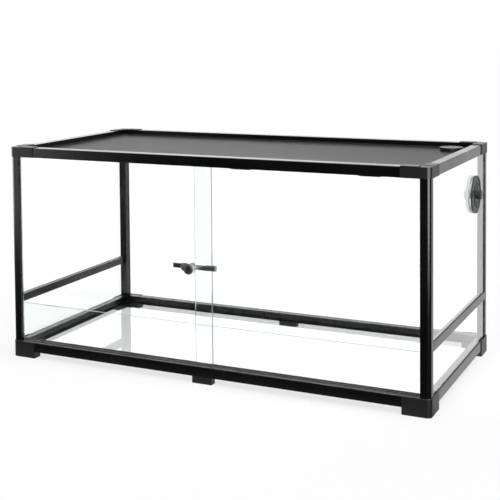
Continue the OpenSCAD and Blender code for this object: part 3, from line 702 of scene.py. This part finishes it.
class TERRARIUM_OT_tracks(bpy.types.Operator):
    """Finish the door tracks and the glides on the doors' top edges"""

    bl_idname = "terrarium.tracks"
    bl_label = "Door tracks and glides"

    def execute(self, context):
        sizes, colours = sizes_and_colours(context)
        dress(TRACKS + GLIDES, track_plastic(sizes, colours))
        soften(TRACKS + GLIDES, sizes.small_round)
        return {"FINISHED"}


class TERRARIUM_OT_lock(bpy.types.Operator):
    """Finish the toothed bar, the lock body and the plug"""

    bl_idname = "terrarium.lock"
    bl_label = "Door lock"

    def execute(self, context):
        sizes, colours = sizes_and_colours(context)
        steel = metal(
            "lock_steel",
            colours.lock_steel,
            roughness=0.28,
            stretch=(1.0, 20.0, 20.0),
            scale=90.0,
            relief=0.00003,
        )
        chrome = metal(
            "lock_chrome",
            colours.chrome,
            roughness=0.34,
            stretch=(1.0, 1.0, 1.0),
            scale=60.0,
            relief=0.00003,
        )
        plug = metal(
            "lock_plug_face",
            colours.plug,
            roughness=0.36,
            stretch=(14.0, 1.0, 14.0),
            scale=90.0,
            relief=0.00002,
        )
        dress(("lock_bar",), steel)
        dress(("lock_body",), chrome)
        dress(("lock_plug",), plug)
        soften(("lock_bar", "lock_plug"), sizes.small_round)
        soften(("lock_body",), sizes.plastic_round, segments=3)
        return {"FINISHED"}


class TERRARIUM_OT_vent(bpy.types.Operator):
    """Finish the vent's clear body, its turning cover and the knobs"""

    bl_idname = "terrarium.vent"
    bl_label = "Side vent"

    def execute(self, context):
        sizes, colours = sizes_and_colours(context)
        turning = ("vent_cover", "vent_outer_knob", "vent_inner_knob")
        fixed = ("vent_flange", "vent_nut")
        dress(turning, vent_plastic(sizes, colours))
        dress(fixed, clear_plastic(sizes, colours))
        soften(turning + fixed, sizes.small_round)
        return {"FINISHED"}


class TERRARIUM_OT_screen(bpy.types.Operator):
    """Finish the screen top: its bars, mesh and cord"""

    bl_idname = "terrarium.screen"
    bl_label = "Screen top"

    def execute(self, context):
        sizes, colours = sizes_and_colours(context)
        dress(SCREEN_BARS, bpy.data.materials["bar_coat"])
        soften(SCREEN_BARS, sizes.small_round)
        dress(("screen_corner_keys",), bpy.data.materials["track_plastic"])
        dress(("screen_mesh",), wire_mesh(sizes, colours))
        dress(("screen_spline",), rubber_cord(sizes, colours))
        soften(("screen_spline",), sizes.small_round)
        return {"FINISHED"}


class TERRARIUM_OT_port(bpy.types.Operator):
    """Finish the cable port's ring, nut and cap"""

    bl_idname = "terrarium.port"
    bl_label = "Cable port"

    def execute(self, context):
        sizes, colours = sizes_and_colours(context)
        pieces = ("port_ring", "port_nut", "port_cap")
        dress(pieces, port_plastic(sizes, colours))
        soften(pieces, sizes.plastic_round / 2, segments=3)
        return {"FINISHED"}


def ways_of_sight(shading):
    """Masks for what is seen directly, through clear glass only, and in a mirror."""
    less_than_once = 0.5
    path = shading.add("ShaderNodeLightPath").outputs
    unscattered = shading.math("LESS_THAN", path["Diffuse Depth"], less_than_once)
    reflected = shading.math("GREATER_THAN", path["Glossy Depth"], less_than_once)
    refracted = shading.math("GREATER_THAN", path["Transmission Depth"], less_than_once)
    mirrored = shading.math("MULTIPLY", unscattered, reflected)
    direct = shading.math("SUBTRACT", unscattered, mirrored)
    through = shading.math("MULTIPLY", direct, refracted)
    return direct, through, mirrored


def floor_material(colours):
    """White floor with a light shadow, which mirrors see dark in front and white behind."""
    white_share = 0.75
    front_dark = 0.02
    front_edge = (-0.42, -0.15)
    turn_away = (-0.866, 0.5, 0.0)
    side_edge = (-0.69, -0.64)
    grain_scale = 3.0
    grain_tone = (0.995, 1.0)
    material, shading, shader, _ = start_material("floor")
    place = shading.object_space()
    grain = shading.ranged(shading.noise(place, grain_scale), (0.0, 1.0), grain_tone)
    direct, through, mirrored = ways_of_sight(shading)
    past_front = shading.ranged(shading.dot(place, ALONG_Y), front_edge, smooth=True)
    past_side = shading.ranged(shading.dot(place, turn_away), side_edge, smooth=True)
    behind = shading.math("MAXIMUM", shading.math("MULTIPLY", past_front, past_side), front_dark)
    soft_part = shading.math("SUBTRACT", 1.0, shading.math("MULTIPLY", direct, white_share))
    diffuse_part = shading.math("MULTIPLY", soft_part, shading.math("SUBTRACT", 1.0, mirrored))
    pale = shading.scaled(colours.floor[:3], shading.math("MULTIPLY", grain, diffuse_part))
    shading.feed(shader["Base Color"], pale)
    shader["Roughness"].default_value = 0.9
    shader["Specular IOR Level"].default_value = 0.0
    shader["Emission Color"].default_value = WHITE
    share = shading.math("ADD", shading.math("MULTIPLY", through, GAIN_THROUGH_GLASS), white_share)
    glow = shading.mix_values(mirrored, shading.math("MULTIPLY", direct, share), behind)
    shading.feed(shader["Emission Strength"], glow)
    material.cycles.emission_sampling = "NONE"
    return material


def make_floor(colours):
    """A wide floor under the feet."""
    mesh = bpy.data.meshes.new("floor")
    reach = 30.0
    corners = [(-reach, -reach, 0.0), (reach, -reach, 0.0), (reach, reach, 0.0), (-reach, reach, 0.0)]
    mesh.from_pydata(corners, [], [(0, 1, 2, 3)])
    mesh.materials.append(floor_material(colours))
    floor = bpy.data.objects.new("floor", mesh)
    bpy.context.collection.objects.link(floor)


def make_sun(direction, strength, spread):
    """A soft sun that shines along a direction, as wide as its spread in degrees."""
    data = bpy.data.lights.new("soft_sun", "SUN")
    data.energy = strength
    data.angle = math.radians(spread)
    lamp = bpy.data.objects.new("soft_sun", data)
    lamp.rotation_mode = "QUATERNION"
    lamp.rotation_quaternion = Vector(direction).to_track_quat("-Z", "Y")
    bpy.context.collection.objects.link(lamp)


def make_softbox(name, place, target, size, radiance):
    """A standing soft lamp that shows in mirrors and leaves the soft light as it is."""
    data = bpy.data.lights.new(name, "AREA")
    data.shape = "RECTANGLE"
    data.size, data.size_y = size
    data.energy = radiance * math.pi * size[0] * size[1]
    lamp = bpy.data.objects.new(name, data)
    lamp.location = place
    lamp.rotation_mode = "QUATERNION"
    lamp.rotation_quaternion = (Vector(target) - Vector(place)).to_track_quat("-Z", "Y")
    lamp.visible_camera = False
    lamp.visible_transmission = False
    lamp.visible_diffuse = False
    bpy.context.collection.objects.link(lamp)


def make_world():
    """White where it is seen directly, even for soft light, and shaped like a studio in mirrors."""
    ambient = 0.6
    dark = 0.03
    brighter_side = (-0.9, 0.43, 0.0)
    side_band = (0.2, 0.75)
    side_brightness = (0.55, 1.9)
    backdrop_band = (0.3, 0.75)
    overhead_band = (0.35, 0.8)
    overhead_brightness = 2.0
    world = bpy.data.worlds.new("studio")
    world.use_nodes = True
    world.node_tree.nodes.clear()
    shading = Shading(world.node_tree)
    direction = shading.add("ShaderNodeTexCoord").outputs["Generated"]

    def lobe(axis, band, brightness):
        """A bright field round one direction of the studio."""
        near = shading.ranged(shading.dot(direction, axis), band, smooth=True)
        return shading.math("MULTIPLY", near, brightness)

    leftward = shading.ranged(shading.dot(direction, brighter_side), side_band, side_brightness)
    backdrop = lobe(ALONG_Y, backdrop_band, leftward)
    overhead = lobe(ALONG_Z, overhead_band, overhead_brightness)
    reflected = shading.math("MAXIMUM", shading.math("MAXIMUM", backdrop, overhead), dark)
    direct, through, mirrored = ways_of_sight(shading)
    seen = shading.math("ADD", shading.math("MULTIPLY", through, GAIN_THROUGH_GLASS), 1.0)
    strength = shading.mix_values(direct, shading.mix_values(mirrored, ambient, reflected), seen)
    background = shading.add("ShaderNodeBackground", {"Color": WHITE, "Strength": strength})
    shading.add("ShaderNodeOutputWorld", {"Surface": background.outputs[0]})
    world.cycles.sampling_method = "NONE"
    bpy.context.scene.world = world


def make_camera():
    """The photograph's viewpoint."""
    place = Vector((1.27124, -2.7247, 0.92648))
    yaw = math.radians(-25.5223)
    pitch = math.radians(2.7087)
    roll = math.radians(-0.4944)
    ahead = Vector(
        (math.sin(yaw) * math.cos(pitch), math.cos(yaw) * math.cos(pitch), -math.sin(pitch))
    )
    level = Vector((math.cos(yaw), -math.sin(yaw), 0.0))
    upright = level.cross(ahead)
    right = level * math.cos(roll) + upright * math.sin(roll)
    up = upright * math.cos(roll) - level * math.sin(roll)
    data = bpy.data.cameras.new("camera")
    data.sensor_width = 36.0
    data.lens = 76.745
    data.shift_x = 0.0168
    data.shift_y = -0.3408
    data.clip_start = 0.05
    data.clip_end = 200.0
    camera = bpy.data.objects.new("camera", data)
    turn = Matrix((right, up, -ahead)).transposed().to_4x4()
    camera.matrix_world = Matrix.Translation(place) @ turn
    bpy.context.collection.objects.link(camera)
    bpy.context.scene.camera = camera


class TERRARIUM_OT_stage(bpy.types.Operator):
    """Set up the floor, the light and the camera"""

    bl_idname = "terrarium.stage"
    bl_label = "Stage, light and camera"

    def execute(self, context):
        colours = context.scene.terrarium_colours
        make_floor(colours)
        make_world()
        front_right_post = (0.6, -0.3, 0.4)
        front_left_post = (-0.6, -0.3, 0.4)
        lock_side = (-0.05, -0.3, 0.3)
        make_sun(direction=(-0.35, 0.25, -0.9), strength=1.4, spread=60.0)
        make_softbox(
            "right_softbox",
            place=(1.28, -0.89, 0.72),
            target=front_right_post,
            size=(0.88, 1.2),
            radiance=8.5,
        )
        make_softbox(
            "lock_glint",
            place=(-1.9, -0.75, 0.32),
            target=lock_side,
            size=(0.35, 0.35),
            radiance=14.0,
        )
        make_softbox(
            "left_strip",
            place=(-1.6, -1.5, 0.7),
            target=front_left_post,
            size=(0.5, 1.4),
            radiance=1.5,
        )
        make_camera()
        context.scene.view_settings.view_transform = "Standard"
        return {"FINISHED"}


STEPS = (
    TERRARIUM_OT_bars,
    TERRARIUM_OT_corners,
    TERRARIUM_OT_glass,
    TERRARIUM_OT_tracks,
    TERRARIUM_OT_lock,
    TERRARIUM_OT_vent,
    TERRARIUM_OT_screen,
    TERRARIUM_OT_port,
    TERRARIUM_OT_stage,
)


class TERRARIUM_PT_panel(bpy.types.Panel):
    """Lists the terrarium's steps"""

    bl_idname = "TERRARIUM_PT_panel"
    bl_label = "Reptile terrarium"
    bl_space_type = "VIEW_3D"
    bl_region_type = "UI"
    bl_category = "Terrarium"

    def draw(self, context):
        for step in STEPS:
            self.layout.operator(step.bl_idname)
        for group in (context.scene.terrarium_sizes, context.scene.terrarium_colours):
            column = self.layout.column()
            for name in group.__annotations__:
                column.prop(group, name)


CLASSES = (TerrariumSizes, TerrariumColours, *STEPS, TERRARIUM_PT_panel)


def register():
    for cls in CLASSES:
        bpy.utils.register_class(cls)
    bpy.types.Scene.terrarium_sizes = bpy.props.PointerProperty(type=TerrariumSizes)
    bpy.types.Scene.terrarium_colours = bpy.props.PointerProperty(type=TerrariumColours)


def unregister():
    del bpy.types.Scene.terrarium_colours
    del bpy.types.Scene.terrarium_sizes
    for cls in reversed(CLASSES):
        bpy.utils.unregister_class(cls)


def main():
    register()
    for step in STEPS:
        family, action = step.bl_idname.split(".")
        getattr(getattr(bpy.ops, family), action)()


if __name__ == "__main__":
    main()
